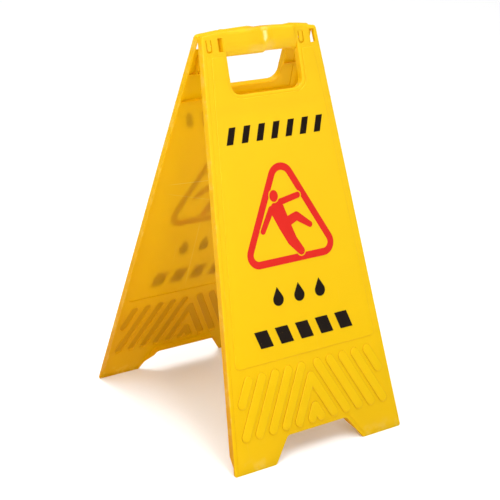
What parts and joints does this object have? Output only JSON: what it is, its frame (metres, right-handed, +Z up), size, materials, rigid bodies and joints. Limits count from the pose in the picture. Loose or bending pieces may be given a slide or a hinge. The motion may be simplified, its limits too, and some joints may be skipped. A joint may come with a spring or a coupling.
{
  "type": "wet floor sign",
  "caption": "Folding A-frame floor sign: two moulded leaves with half handles, snap hinge, raised printed field and notched feet.",
  "frame": {"origin": "on the floor, centred under the hinge, with the sign open", "axes": "+Z up, X across the leaves along the hinge, the front leaf leans towards -Y and the rear leaf towards +Y"},
  "size_m": [0.3004, 0.3814, 0.5808],
  "materials": {
    "yellow_plastic": "satin moulded polypropylene",
    "red_print": "satin print",
    "black_print": "satin print"
  },
  "bodies": {
    "front": {"front_leaf": "yellow_plastic", "front_hazard_dash_print": "black_print", "front_slip_sign_print": "red_print", "front_water_drop_print": "black_print", "front_floor_tile_print": "black_print"},
    "rear": {"rear_leaf": "yellow_plastic", "rear_hazard_dash_print": "black_print", "rear_slip_sign_print": "red_print", "rear_water_drop_print": "black_print", "rear_floor_tile_print": "black_print"}
  },
  "joints": [
    {"name": "fold_hinge", "type": "hinge", "parent": "front", "child": "rear", "pos_m": [0, 0, 0.57], "axis": [-1, 0, 0], "range_deg": [0, 35]}
  ]
}
